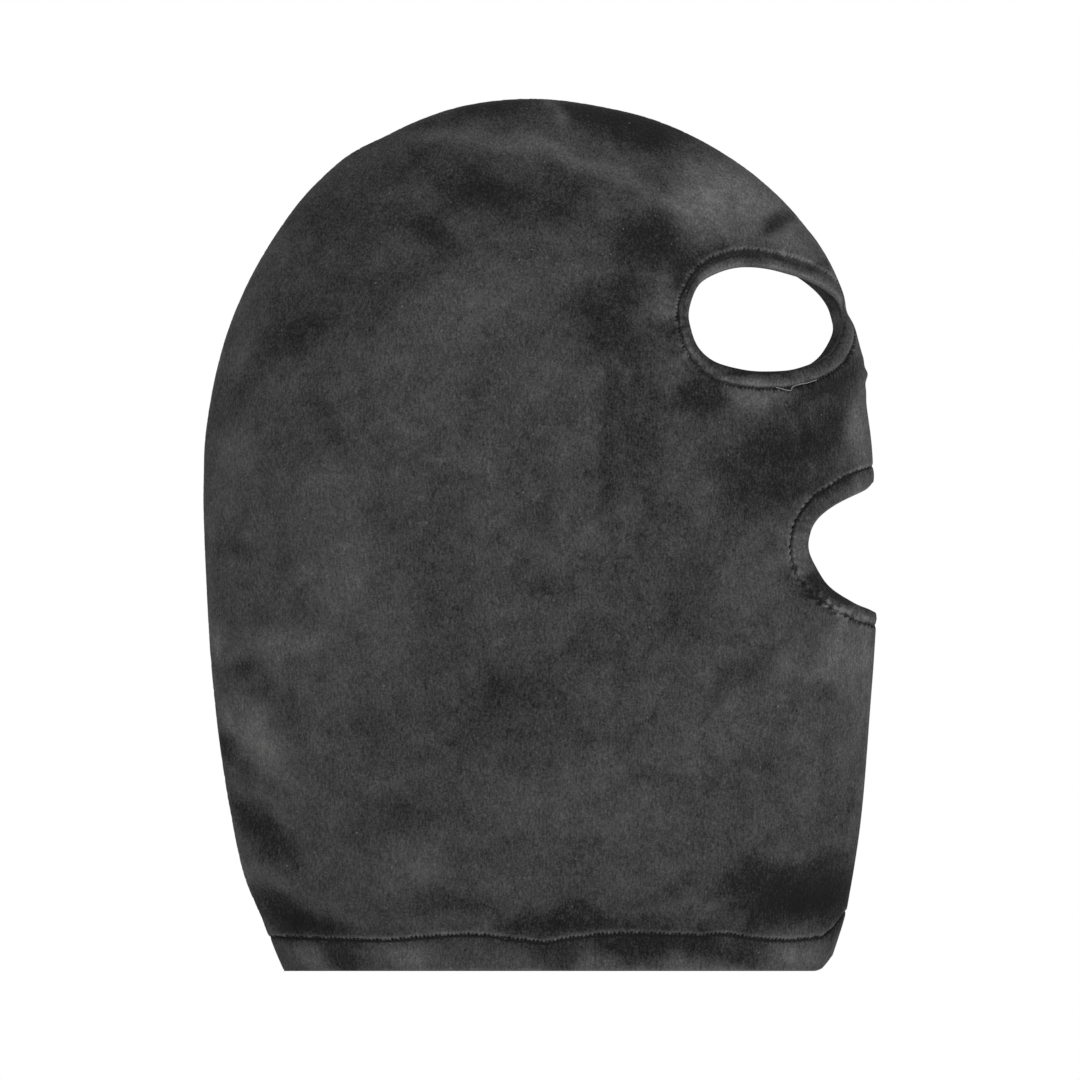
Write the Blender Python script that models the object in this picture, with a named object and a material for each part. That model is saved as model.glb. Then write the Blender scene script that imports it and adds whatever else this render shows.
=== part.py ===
"""A velour balaclava: one hood of cloth with a hem round the neck, each eye and the mouth.

+X is where the face looks, +Z is the crown and +Y is the wearer's left. The origin is in the plane of
the neck hem, midway between the foremost and the rearmost points of the hood. The cloth is folded down
the front and sewn along the crown and the back. The hood stands gently open, as on a head.
"""

import math

import bmesh
import bpy
from mathutils import Vector
from mathutils.bvhtree import BVHTree

# Cloth and thread
CLOTH = 0.0016  # one ply of velour
GAP = 0.0003  # between two plies that touch
THREAD_RADIUS = 0.00025
THREAD_LIFT = 0.0009  # from the cloth to the middle of a thread
INNER_TURN = 0.008  # an inside thread goes straight across where it is nearer the middle plane

# The side outline: a crown round the head's centre, and a front and a back line below it
HEAD_CENTRE = 0.200
CROWN_RADII = [0.1295, 0.129, 0.132, 0.1345, 0.137, 0.138, 0.1385, 0.139, 0.139, 0.140,
               0.1405, 0.140, 0.1395, 0.138, 0.1345, 0.1325, 0.131, 0.130, 0.131]
CROWN_STEP = 10  # degrees between those radii, from the front to the back
FRONT_LINE = [(0.0, 0.112), (0.020, 0.1185), (0.060, 0.125), (0.100, 0.129), (0.140, 0.131), (0.200, 0.1295)]
BACK_LINE = [(0.0, 0.0995), (0.020, 0.108), (0.050, 0.118), (0.080, 0.124), (0.120, 0.1285),
             (0.160, 0.1305), (0.200, 0.131)]
FRONT_CORNER = 0.009  # radius at the foot of the front fold

# How far each side stands from the middle plane, by height, and how it falls off towards the outline
HALF_DEPTH = [(0.0, 0.038), (0.060, 0.040), (0.140, 0.046), (0.200, 0.048)]
FALL_OFF = 0.66
COLUMNS = [0.0, 0.2, 0.4, 0.58, 0.73, 0.85, 0.93, 0.975, 1.0]  # shares of the way to the outline

# Holes, as points of a smooth line in the side view
EYE = [(0.0582, 0.2575), (0.064, 0.2695), (0.081, 0.2745), (0.103, 0.268),
       (0.1145, 0.252), (0.1065, 0.2375), (0.088, 0.233), (0.066, 0.239)]
MOUTH = [(0.136, 0.193), (0.1295, 0.189), (0.1235, 0.186), (0.112, 0.179), (0.1053, 0.171),
         (0.105, 0.164), (0.109, 0.155), (0.1185, 0.1455), (0.127, 0.141), (0.136, 0.138)]

# Hems and the seam
NECK_HEM = 0.0145
EYE_HEM = 0.0066  # above and below the eye
EYE_HEM_BACK = 0.0044
EYE_HEM_FRONT = 0.0024
MOUTH_HEM = 0.0065
STITCH_INSET = 0.0012  # from a hem's raw edge to its row of stitches
SEAM_START = 38  # degrees above the head's centre, over the brow
SEAM_FOOT = 0.018
ALLOWANCE = (0.0044, 0.0104)  # from the outline to the near and the far edge
ALLOWANCE_GAP = 0.00035  # from the middle plane

REACH = 0.2  # how far a cutter runs past the hood


# ---------------------------------------------------------------- smooth lines
def smooth_value(points, t):
    """The value at t of a smooth line through (t, value) points, and straight beyond its ends."""
    slopes = []
    for i in range(len(points)):
        (t0, v0), (t1, v1) = points[max(i - 1, 0)], points[min(i + 1, len(points) - 1)]
        slopes.append((v1 - v0) / (t1 - t0))
    if t <= points[0][0]:
        return points[0][1] + slopes[0] * (t - points[0][0])
    if t >= points[-1][0]:
        return points[-1][1] + slopes[-1] * (t - points[-1][0])
    i = next(k for k in range(len(points) - 1) if t <= points[k + 1][0])
    (t0, v0), (t1, v1) = points[i], points[i + 1]
    span = t1 - t0
    s = (t - t0) / span
    return ((2 * s**3 - 3 * s**2 + 1) * v0 + (s**3 - 2 * s**2 + s) * span * slopes[i]
            + (3 * s**2 - 2 * s**3) * v1 + (s**3 - s**2) * span * slopes[i + 1])


def smooth_outline(points, steps, closed=True):
    """(x, z) points along a smooth line through the given ones."""
    count = len(points)
    made = []
    for i in range(count if closed else count - 1):
        near = [points[(i + k) % count] if closed else points[min(max(i + k, 0), count - 1)]
                for k in (-1, 0, 1, 2)]
        for j in range(steps):
            s = j / steps
            weights = (-s**3 + 2 * s**2 - s, 3 * s**3 - 5 * s**2 + 2,
                       -3 * s**3 + 4 * s**2 + s, s**3 - s**2)
            made.append(tuple(sum(w * p[axis] for w, p in zip(weights, near)) / 2 for axis in (0, 1)))
    return made if closed else made + [points[-1]]


# ---------------------------------------------------------------- the hood's surface
def crown_radius(degrees):
    return smooth_value([(i * CROWN_STEP, r) for i, r in enumerate(CROWN_RADII)], degrees)


def side_depth(share, z):
    """How far the cloth stands from the middle plane, at a share of the way from centre to outline."""
    return smooth_value(HALF_DEPTH, min(z, HEAD_CENTRE)) * (1 - min(share, 1) ** 2) ** FALL_OFF


def crown_point(degrees, share, side):
    """A point above the head's centre. side is -1 for the wearer's right and 1 for the left."""
    reach = share * crown_radius(degrees)
    z = HEAD_CENTRE + reach * math.sin(math.radians(degrees))
    return Vector((reach * math.cos(math.radians(degrees)), side * side_depth(share, z), z))


def lower_point(end, z, share, side):
    """A point below the head's centre. end is 1 towards the front and -1 towards the back."""
    reach = share * smooth_value(FRONT_LINE if end > 0 else BACK_LINE, z)
    return Vector((end * reach, side * side_depth(share, z), z))


def cloth_point(x, z, side):
    """The point of the cloth's outer face that the side view shows at x and z."""
    if z > HEAD_CENTRE:
        degrees = math.degrees(math.atan2(z - HEAD_CENTRE, x))
        return crown_point(degrees, math.hypot(x, z - HEAD_CENTRE) / crown_radius(degrees), side)
    end = 1 if x > 0 else -1
    return lower_point(end, z, end * x / smooth_value(FRONT_LINE if end > 0 else BACK_LINE, z), side)


def grid_surface(bm, across, up, place):
    """Adds a grid to bm. place(i, j) gives where its vertex in column i and row j goes."""
    made = bmesh.ops.create_grid(bm, x_segments=across, y_segments=up, size=1)["verts"]
    for v in made:
        i, j = round((v.co.x + 1) / 2 * across), round((v.co.y + 1) / 2 * up)
        v.co = place(i, j)


def hood_surface(lowest, highest=None, rows=13, crown_steps=18):
    """The cloth's outer face from height lowest up, to highest or over the crown."""
    bm = bmesh.new()
    way = [(share, -1) for share in COLUMNS] + [(share, 1) for share in reversed(COLUMNS[:-1])]
    top = HEAD_CENTRE if highest is None else highest
    for end in (-1, 1):
        grid_surface(bm, len(way) - 1, rows,
                     lambda i, j, end=end: lower_point(end, lowest + (top - lowest) * j / rows, *way[i]))
    if highest is None:
        grid_surface(bm, len(way) - 1, crown_steps,
                     lambda i, j: crown_point(180 * j / crown_steps, *way[i]))
    bmesh.ops.remove_doubles(bm, verts=bm.verts, dist=0.00002)
    bmesh.ops.dissolve_degenerate(bm, edges=bm.edges, dist=0.00002)
    bmesh.ops.recalc_face_normals(bm, faces=bm.faces)
    bm.normal_update()
    outward = sum(f.normal.y * f.calc_center_median().y for f in bm.faces)
    if outward < 0:
        bmesh.ops.reverse_faces(bm, faces=bm.faces)
        bm.normal_update()
    return bm


def sink(bm, distance):
    """Moves a surface inwards along its normals, so that a ply lies behind the one outside it."""
    moves = [v.normal * distance * v.calc_shell_factor() for v in bm.verts]
    for v, move in zip(bm.verts, moves):
        v.co -= move


# ---------------------------------------------------------------- objects
def add_object(name, mesh, material=None):
    thing = bpy.data.objects.new(name, mesh)
    bpy.context.scene.collection.objects.link(thing)
    if material is not None:
        mesh.materials.append(material)
    return thing


def add_mesh(name, bm, material=None):
    mesh = bpy.data.meshes.new(name)
    bm.to_mesh(mesh)
    bm.free()
    thing = add_object(name, mesh, material)
    if material is not None:
        mesh.shade_smooth()
        mesh.set_sharp_from_angle(angle=math.radians(40))
    return thing


def add_cutter(name, outlines, low, high):
    """A hidden prism along Y with the outline in the side view; a second outline is a hole in it."""
    bm = bmesh.new()
    for outline in outlines:
        ring = [bm.verts.new((x, low, z)) for x, z in outline]
        for a, b in zip(ring, ring[1:] + ring[:1]):
            bm.edges.new((a, b))
    if len(outlines) > 1:
        faces = bmesh.ops.bridge_loops(bm, edges=bm.edges)["faces"]
    else:
        faces = [bm.faces.new(bm.verts)]
    top = bmesh.ops.extrude_face_region(bm, geom=faces)["geom"]
    bmesh.ops.translate(bm, vec=(0, high - low, 0), verts=[v for v in top if isinstance(v, bmesh.types.BMVert)])
    bmesh.ops.recalc_face_normals(bm, faces=bm.faces)
    cutter = add_mesh(name, bm)
    cutter.hide_render = True
    cutter.display_type = "WIRE"
    return cutter


def thicken(thing):
    solidify = thing.modifiers.new("ply", "SOLIDIFY")
    solidify.thickness = CLOTH
    solidify.offset = -1
    solidify.use_even_offset = True


def cut(thing, cutter, operation="DIFFERENCE"):
    boolean = thing.modifiers.new(cutter.name, "BOOLEAN")
    boolean.operation = operation
    boolean.solver = "EXACT"
    boolean.object = cutter


def add_material(name, colour, roughness):
    material = bpy.data.materials.new(name)
    material.use_nodes = True
    shader = material.node_tree.nodes["Principled BSDF"]
    shader.inputs["Base Color"].default_value = (*colour, 1)
    shader.inputs["Roughness"].default_value = roughness
    shader.inputs["Metallic"].default_value = 0
    return material


# ---------------------------------------------------------------- outlines in the side view
def eye_outline(top, back, front, steps=3):
    """The eye hole's outline, moved out by top above and below it, and by back and front at its ends."""
    middle_x = (EYE[0][0] + EYE[4][0]) / 2
    middle_z = (EYE[2][1] + EYE[6][1]) / 2
    half_width = (EYE[4][0] - EYE[0][0]) / 2
    half_height = (EYE[2][1] - EYE[6][1]) / 2
    moved = []
    for x, z in smooth_outline(EYE, steps):
        end = front if x > middle_x else back
        moved.append((middle_x + (x - middle_x) * (1 + end / half_width),
                      middle_z + (z - middle_z) * (1 + top / half_height)))
    return moved


def mouth_outline(out, steps=2):
    """The line of the mouth's edge, moved into the cloth by out."""
    line = smooth_outline(MOUTH, steps, closed=False)
    moved = []
    for i, (x, z) in enumerate(line):
        (x0, z0), (x1, z1) = line[max(i - 1, 0)], line[min(i + 1, len(line) - 1)]
        along = Vector((x1 - x0, z1 - z0)).normalized()
        moved.append((x + along.y * out, z - along.x * out))
    return moved


def front_corner():
    """What the rounded corner at the foot of the front fold leaves away."""
    x, z = smooth_value(FRONT_LINE, FRONT_CORNER) - FRONT_CORNER, FRONT_CORNER
    arc = [(x + FRONT_CORNER * math.sin(math.radians(a)), z - FRONT_CORNER * math.cos(math.radians(a)))
           for a in range(0, 91, 15)]
    return arc + [(x + 3 * FRONT_CORNER, z), (x + 3 * FRONT_CORNER, -FRONT_CORNER), (x, -FRONT_CORNER)]


def seam_line(steps_down=14, step=8):
    """Points of the crown and back seam, from the brow round to the foot of the back."""
    line = []
    degrees = SEAM_START
    while degrees < 180:
        p = crown_point(degrees, 1, 1)
        line.append((p.x, p.z))
        degrees += step
    for i in range(steps_down + 1):
        z = HEAD_CENTRE + (SEAM_FOOT - HEAD_CENTRE) * i / steps_down
        p = lower_point(-1, z, 1, 1)
        line.append((p.x, p.z))
    return line


def beside(line, inset):
    """An open line in the side view, moved inwards by inset."""
    moved = []
    for i, (x, z) in enumerate(line):
        (x0, z0), (x1, z1) = line[max(i - 1, 0)], line[min(i + 1, len(line) - 1)]
        along = Vector((x1 - x0, z1 - z0)).normalized()
        moved.append((x - along.y * inset, z + along.x * inset))
    return moved


# ---------------------------------------------------------------- sub-parts
def add_side(name, side, tools, material):
    thing = add_mesh(name, hood_surface(-0.006), material)
    thicken(thing)
    cut(thing, tools["half", side], "INTERSECT")
    for hole in ("eye", "mouth", "corner"):
        cut(thing, tools[hole])
    return thing


def add_neck_hem(tools, material):
    bm = hood_surface(-0.006, NECK_HEM, rows=2)
    sink(bm, CLOTH + GAP)
    thing = add_mesh("neck_hem", bm, material)
    thicken(thing)
    cut(thing, tools["above"], "INTERSECT")
    cut(thing, tools["corner"])
    return thing


def add_hole_hem(name, ring, material, half=None):
    """A turned ply behind the cloth, where the ring-shaped cutter meets it."""
    bm = hood_surface(-0.006)
    sink(bm, CLOTH + GAP)
    thing = add_mesh(name, bm, material)
    thicken(thing)
    cut(thing, ring, "INTERSECT")
    if half is not None:
        cut(thing, half, "INTERSECT")
    return thing


def add_allowance(name, side, material):
    near, far = (beside(seam_line(), inset) for inset in ALLOWANCE)
    bm = bmesh.new()
    grid_surface(bm, len(near) - 1, 1, lambda i, j: Vector(
        ((near, far)[j][i][0], side * ALLOWANCE_GAP, (near, far)[j][i][1])))
    bmesh.ops.recalc_face_normals(bm, faces=bm.faces)
    if sum(f.normal.y for f in bm.faces) * side > 0:
        bmesh.ops.reverse_faces(bm, faces=bm.faces)
    thing = add_mesh(name, bm, material)
    thicken(thing)
    return thing


def add_thread(name, path, material, closed=True):
    """A thread as a thin tube along path."""
    curve = bpy.data.curves.new(name, "CURVE")
    curve.dimensions = "3D"
    curve.bevel_depth = THREAD_RADIUS
    curve.bevel_resolution = 0
    curve.use_fill_caps = not closed
    spline = curve.splines.new("POLY")
    spline.points.add(len(path) - 1)
    spline.use_cyclic_u = closed
    for point, place in zip(spline.points, path):
        point.co = (*place, 1)
    return add_object(name, curve, material)


def lay_thread(cloth, places, off):
    """Places beside the cloth, moved to THREAD_LIFT from it. off(place) is the free side's direction."""
    trees = [BVHTree.FromObject(c, bpy.context.evaluated_depsgraph_get()) for c in cloth]
    laid = []
    for place in places:
        start = place + off(place) * 0.006
        near = min((tree.find_nearest(start)[0] for tree in trees), key=lambda p: (p - start).length)
        laid.append(near + (start - near).normalized() * THREAD_LIFT)
    return laid


def outwards(place):
    """Away from the middle plane, or forwards and backwards where the cloth crosses it."""
    if abs(place.y) > 0.001:
        return Vector((0.5 if place.x > 0 else -0.5, math.copysign(1, place.y), 0)).normalized()
    return Vector((math.copysign(1, place.x), 0, 0))


def inwards(place):
    return -outwards(place)


def neck_row():
    """Points of the stitch row round the neck, from the front fold along the right and back on the left."""
    z = NECK_HEM - STITCH_INSET
    shares = [1, 0.985, 0.96, 0.91, 0.85, 0.77, 0.68, 0.58, 0.47, 0.35, 0.24, 0.12]
    front, back = ([lower_point(end, z, s, -1) for s in shares] for end in (1, -1))
    right = front + [lower_point(1, z, 0, -1)] + back[::-1]
    return right + [Vector((p.x, -p.y, p.z)) for p in reversed(right[1:-1])]


def eye_row(side):
    inset = STITCH_INSET
    return [cloth_point(x, z, side)
            for x, z in eye_outline(EYE_HEM - inset, EYE_HEM_BACK - inset, EYE_HEM_FRONT - inset / 2)]


def mouth_row():
    """Points of the closed stitch row round the mouth, over the fold above and below it."""
    right = []
    for x, z in mouth_outline(MOUTH_HEM - STITCH_INSET, steps=3):
        reach = smooth_value(FRONT_LINE, z)
        if x < reach - 0.0008:
            right.append(cloth_point(x, z, -1))
    above, below = (lower_point(1, z, 1, -1) for z in (right[0].z + 0.0008, right[-1].z - 0.0008))
    return [above, *right, below] + [Vector((p.x, -p.y, p.z)) for p in reversed(right)]


def add_row(name, cloth_outside, cloth_inside, places, material):
    """A needle thread outside the cloth and a bobbin thread inside it."""
    add_thread(name + "_needle_thread", lay_thread(cloth_outside, places, outwards), material)
    inner = [p for p in places if abs(p.y) > INNER_TURN]
    add_thread(name + "_bobbin_thread", lay_thread(cloth_inside, inner, inwards), material)


def add_seam_threads(material):
    """The seam's needle thread, and the two looper threads along the raw edges of the allowances."""
    y = ALLOWANCE_GAP + CLOTH + THREAD_LIFT
    edge = ALLOWANCE[1] - 2 * THREAD_RADIUS
    for name, side, inset in (("needle", -1, 0.0062), ("upper_looper", -1, edge), ("lower_looper", 1, edge)):
        path = [Vector((x, side * y, z)) for x, z in beside(seam_line(), inset)]
        add_thread(f"seam_{name}_thread", path, material, closed=False)


# ---------------------------------------------------------------- the whole
def add_tools():
    """The hidden prisms that trim the cloth and cut its holes."""
    wide = [(-REACH, 0), (REACH, 0), (REACH, 2 * REACH), (-REACH, 2 * REACH)]
    hole = eye_outline(0, 0, 0)
    eye_edge = eye_outline(EYE_HEM, EYE_HEM_BACK, EYE_HEM_FRONT)
    mouth = mouth_outline(0)
    return {
        ("half", -1): add_cutter("right_half", [wide], -REACH, -GAP / 2),
        ("half", 1): add_cutter("left_half", [wide], GAP / 2, REACH),
        "above": add_cutter("above_hem", [wide], -REACH, REACH),
        "corner": add_cutter("front_corner", [front_corner()], -REACH, REACH),
        "eye": add_cutter("eye_hole", [hole], -REACH, REACH),
        "mouth": add_cutter("mouth_hole", [mouth], -REACH, REACH),
        "eye_ring": add_cutter("eye_hem_ring", [hole, eye_edge], -REACH, REACH),
        "mouth_ring": add_cutter("mouth_hem_ring", [mouth + mouth_outline(MOUTH_HEM)[::-1]], -REACH, REACH),
    }


def main():
    for old in list(bpy.data.objects):
        bpy.data.objects.remove(old)
    velour = add_material("charcoal_velour", (0.045, 0.045, 0.047), 0.95)
    thread = add_material("sewing_thread", (0.030, 0.030, 0.032), 0.7)
    tools = add_tools()
    right = add_side("right_side", -1, tools, velour)
    left = add_side("left_side", 1, tools, velour)
    neck = add_neck_hem(tools, velour)
    right_eye = add_hole_hem("right_eye_hem", tools["eye_ring"], velour, tools["half", -1])
    left_eye = add_hole_hem("left_eye_hem", tools["eye_ring"], velour, tools["half", 1])
    mouth = add_hole_hem("mouth_hem", tools["mouth_ring"], velour)
    add_allowance("right_seam_allowance", -1, velour)
    add_allowance("left_seam_allowance", 1, velour)
    bpy.context.view_layer.update()
    add_row("neck", [right, left], [neck], neck_row(), thread)
    add_row("right_eye", [right], [right_eye], eye_row(-1), thread)
    add_row("left_eye", [left], [left_eye], eye_row(1), thread)
    add_row("mouth", [right, left], [mouth], mouth_row(), thread)
    add_seam_threads(thread)


main()
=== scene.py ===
import bisect
import math
import random

import bmesh
import bpy
import numpy as np
from mathutils import Matrix, Vector, kdtree, noise


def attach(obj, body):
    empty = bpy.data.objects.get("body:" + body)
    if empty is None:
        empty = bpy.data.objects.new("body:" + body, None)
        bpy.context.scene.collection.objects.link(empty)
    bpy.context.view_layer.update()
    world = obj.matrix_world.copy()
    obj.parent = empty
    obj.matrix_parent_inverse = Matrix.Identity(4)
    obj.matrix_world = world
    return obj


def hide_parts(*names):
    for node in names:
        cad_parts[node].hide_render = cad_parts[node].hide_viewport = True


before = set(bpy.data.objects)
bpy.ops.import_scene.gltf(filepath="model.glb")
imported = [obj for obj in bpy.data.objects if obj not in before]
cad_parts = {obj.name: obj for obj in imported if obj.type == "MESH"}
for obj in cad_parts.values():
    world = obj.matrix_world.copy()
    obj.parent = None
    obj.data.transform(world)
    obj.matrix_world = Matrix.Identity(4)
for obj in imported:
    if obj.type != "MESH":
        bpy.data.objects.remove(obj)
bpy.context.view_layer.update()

mm = 0.001
noise.seed_set(1)  # or vector noise would change from run to run

# The hood stands on its neck edge: +X is the way the face looks, +Z up, and side 1 (+Y) is the
# wearer's left. Lists of places are in mm.

hood = {
    "headCentre": 0.200,  # the crown is drawn round this height
    "crownRadii": [129.5, 129, 132, 134.7, 137.2, 138.2, 138.6, 139.1, 139.1, 140, 140.4, 140, 139.8,
                   138, 134.8, 132.6, 131.2, 130.6, 131.1],  # every 10 degrees from the front
    "crownKinks": [(14.3, 1.7, 1.1), (11.6, 0.5, 1.6), (16.6, 0.8, 1.5), (18.4, 0.2, 1.6),
                   (25.4, -1.2, 1.9), (34, 0.4, 4), (104, 0.2, 4), (116, -0.7, 4), (123, 0.3, 4),
                   (141, 0.1, 8)],  # degrees, height, width
    "frontLine": [(0, 111.8), (12, 115.6), (25, 119.5), (60, 125.1), (100, 128.5), (140, 130.8),
                  (200, 129.5)],  # height, reach
    "backLine": [(0, 99.9), (18, 107.5), (35, 114.7), (50, 118.6), (80, 123.9), (120, 128.4), (160, 130.7),
                 (182, 131.4), (200, 131.1)],
    "halfDepth": [(0, 38), (60, 40), (140, 46), (200, 48)],
    "fallOff": 0.66,  # how the sides round off towards the folds
    "depthShare": 0.36,  # half the depth against the reach, which the pattern is spread by
    "ply": 1.5 * mm,
    "hemMesh": 0.5 * mm,  # triangles are this size beside a stitch row,
    "rimMesh": 1.5 * mm,  # beside a rim
    "openMesh": 3.6 * mm,  # and away from both
    "foldStep": 1.4 * mm,
    "seamStep": 1.2 * mm,
}
neckHem = {
    "row": [(-131, 14), (-104, 13.4), (-85, 12.6), (-60, 11.9), (-27, 14), (2, 11), (9, 12.4), (31, 14.4),
            (55, 14), (63, 13.7), (70, 14.4), (82, 12.9), (97, 11.8), (107, 12.8), (121, 13.6)],
    "rowRise": (10 * mm, 6.5 * mm),  # the row rises this much to the front fold, over this width
    "edgeRise": (5.4 * mm, 4.3 * mm),  # and so does the lower edge
    "height": 12 * mm,  # about how high the row runs
    "stitch": 1.6 * mm,
}
eyeHem = {
    "right": [(58.1, 258), (63.8, 269.5), (80.3, 274.9), (99, 271.8), (107.8, 268.2), (114.9, 264.2),
              (118.2, 258.6), (119.2, 252), (117.4, 245.8), (112.4, 239.4), (100.3, 234.4), (86.7, 233.5),
              (70.9, 236), (62.0, 242.4), (59.0, 250.2)],
    "left": [(56.2, 257), (62.4, 271), (81, 276.4), (91.6, 275.2), (98.4, 272.7), (104.6, 268.9),
             (110.4, 263.7), (114.3, 258.1), (115.8, 252.8), (115.3, 248.5), (113.3, 244.1), (110, 239.4),
             (106.5, 236.6), (102.1, 234.2), (96, 232.2), (86, 231), (70, 234), (59.6, 242)],
    "width": 6.4 * mm,
    "backWidth": 4.6 * mm,
    "toFold": 1.4 * mm,  # the row stops this short of the fold
    "step": 0.8 * mm,  # along its lines
    "stitch": 1.5 * mm,
}
mouthHem = {  # z where it meets the fold, then the places between
    "edgeEnds": (190.8, 139.2),
    "edge": [(128, 188.1), (122, 185.1), (116.5, 182.4), (110.5, 178.2), (106.2, 173.3), (104.5, 167),
             (105.4, 161.5), (108.6, 155.8), (112.5, 150.2), (119, 145.2), (125, 142.1), (129, 140.6)],
    "rowEnds": (197, 134.6),
    "row": [(127.6, 196), (121.4, 193.8), (114, 189.6), (105.5, 183.6), (100, 176), (97.8, 167),
            (98.6, 158.4), (102.4, 150.8), (108, 145.4), (115.6, 140.6), (122.6, 136.9), (127.6, 135.4)],
    "steps": 120,
    "stitch": 2.6 * mm,
}
seam = {
    "start": 38,  # degrees over the brow, where the fold ends and the seam starts
    "runOut": 8,
    "depth": 1.3 * mm, "width": 1.3 * mm,
    "swell": 0.45 * mm, "swellAt": 3 * mm,
    "stitch": 2.5 * mm,
}


def smoothCurve(points, unit=mm):
    # a smooth line through (t, value) points, straight beyond its ends
    ts, vs = [p[0] * unit for p in points], [p[1] * mm for p in points]
    last = len(ts) - 1
    slopes = []
    for i in range(last + 1):
        low, high = max(i - 1, 0), min(i + 1, last)
        slopes.append((vs[high] - vs[low]) / (ts[high] - ts[low]))

    def at(t):
        if t <= ts[0]:
            return vs[0] + slopes[0] * (t - ts[0])
        if t >= ts[last]:
            return vs[last] + slopes[last] * (t - ts[last])
        i = min(bisect.bisect_right(ts, t), last)
        span = ts[i] - ts[i - 1]
        s = (t - ts[i - 1]) / span
        return ((2 * s**3 - 3 * s**2 + 1) * vs[i - 1] + (s**3 - 2 * s**2 + s) * span * slopes[i - 1]
                + (3 * s**2 - 2 * s**3) * vs[i] + (s**3 - s**2) * span * slopes[i])

    return at


def bell(t, width):
    return math.exp(-(t / width) ** 2)


def ease(t):
    t = min(max(t, 0), 1)
    return t * t * (3 - 2 * t)


headCentre = hood["headCentre"]
plainCrown = smoothCurve([(10 * i, r) for i, r in enumerate(hood["crownRadii"])], math.radians(1))
frontReach = smoothCurve(hood["frontLine"])
backReach = smoothCurve(hood["backLine"])
halfDepth = smoothCurve(hood["halfDepth"])


def crownRadius(angle):
    # the outline has small kinks at the brow and nose bridge, and a flat place behind the crown
    kinks = sum(h * bell(math.degrees(angle) - a, w) for a, h, w in hood["crownKinks"])
    return plainCrown(angle) + kinks * mm


def reachAt(x, z):
    # how far the outline is from the centre line (from the head's centre, in the crown)
    if z > headCentre:
        return crownRadius(math.atan2(z - headCentre, x))
    return frontReach(z) if x > 0 else backReach(z)


# The pattern is the side view with its rim spread out, so that a step on it is the same step on the
# cloth. Its rim is the fold or seam, and past the rim it runs on down the other side.

steps = 500
turns = [math.pi / 2 * k / steps for k in range(steps + 1)]
arcs = [0]
for a, b in zip(turns, turns[1:]):
    depths = [hood["depthShare"] * math.cos(t) ** (2 * hood["fallOff"]) for t in (a, b)]
    arcs.append(arcs[-1] + math.hypot(math.sin(b) - math.sin(a), depths[1] - depths[0]))
spread = arcs[-1]


def lookUp(xs, ys, x):
    i = min(max(bisect.bisect_right(xs, x), 1), len(xs) - 1)
    return ys[i - 1] + (ys[i] - ys[i - 1]) * (x - xs[i - 1]) / (xs[i] - xs[i - 1])


def clothPoint(flat, side):
    x, z = flat
    reach = reachAt(x, z)
    high = z > headCentre
    far = math.hypot(x, z - headCentre) if high else abs(x)
    along = far / reach
    past = along > spread
    turn = lookUp(arcs, turns, min(2 * spread - along if past else along, spread))
    depth = max(math.cos(turn), 0) ** (2 * hood["fallOff"]) * (-1 if past else 1)
    shrink = reach * math.sin(turn) / max(far, 1e-9)
    y = side * depth * halfDepth(min(z, headCentre))
    return Vector((x * shrink, y, headCentre + (z - headCentre) * shrink if high else z))


def toPattern(x, z):
    reach = reachAt(x, z)
    high = z > headCentre
    far = math.hypot(x, z - headCentre) if high else abs(x)
    grow = lookUp(turns, arcs, math.asin(min(far / reach, 1))) * reach / max(far, 1e-9)
    return Vector((x * grow, headCentre + (z - headCentre) * grow if high else z))


def toRim(flat):
    # how far a place on the pattern is from its rim
    x, z = flat
    far = math.hypot(x, z - headCentre) if z > headCentre else abs(x)
    return reachAt(x, z) * spread - far


def clothNormal(flat, side, step=0.4 * mm):
    x, z = flat
    across = clothPoint((x + step, z), side) - clothPoint((x - step, z), side)
    up = clothPoint((x, z + step), side) - clothPoint((x, z - step), side)
    return (across.cross(up) * -side).normalized()


# the lines on the pattern

def smoothLine(points, steps, before=None, after=None):
    # points along a smooth line: a closed one, or one that would run on from before and to after
    points, count = list(points), len(points)
    made = []
    for i in range(count if before is None else count - 1):
        near = []
        for k in (i - 1, i, i + 1, i + 2):
            near.append(points[k % count] if before is None
                        else before if k < 0 else after if k >= count else points[k])
        for j in range(steps):
            s = j / steps
            weights = (-s**3 + 2 * s**2 - s, 3 * s**3 - 5 * s**2 + 2,
                       -3 * s**3 + 4 * s**2 + s, s**3 - s**2)
            made.append(sum((p * w / 2 for p, w in zip(near, weights)), Vector((0, 0))))
    return made if before is None else made + [points[-1]]


def mouthLine(ends, places):
    # from the front fold above the mouth to the fold below it, crossing the fold squarely
    top, foot = (toPattern(frontReach(z * mm), z * mm) for z in ends)
    inner = [toPattern(x * mm, z * mm) for x, z in places]
    before = Vector((2 * top.x - inner[0].x, inner[0].y))
    after = Vector((2 * foot.x - inner[-1].x, inner[-1].y))
    line = smoothLine([top, *inner, foot], 8, before, after)
    line = stepsAlong(line, sum((b - a).length for a, b in zip(line, line[1:])) / mouthHem["steps"])
    for _ in range(12):
        before = Vector((2 * top.x - line[1].x, line[1].y))
        after = Vector((2 * foot.x - line[-2].x, line[-2].y))
        line = [before, *line, after]
        line = [(a + b * 2 + c) / 4 for a, b, c in zip(line, line[1:], line[2:])]
        for i in (0, -1):
            line[i] = Vector((frontReach(line[i].y) * spread, line[i].y))
    return line


def smoothRing(ring, rounds):
    for _ in range(rounds):
        ring = [(ring[i - 1] + ring[i] * 2 + ring[(i + 1) % len(ring)]) / 4 for i in range(len(ring))]
    return ring


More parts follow.
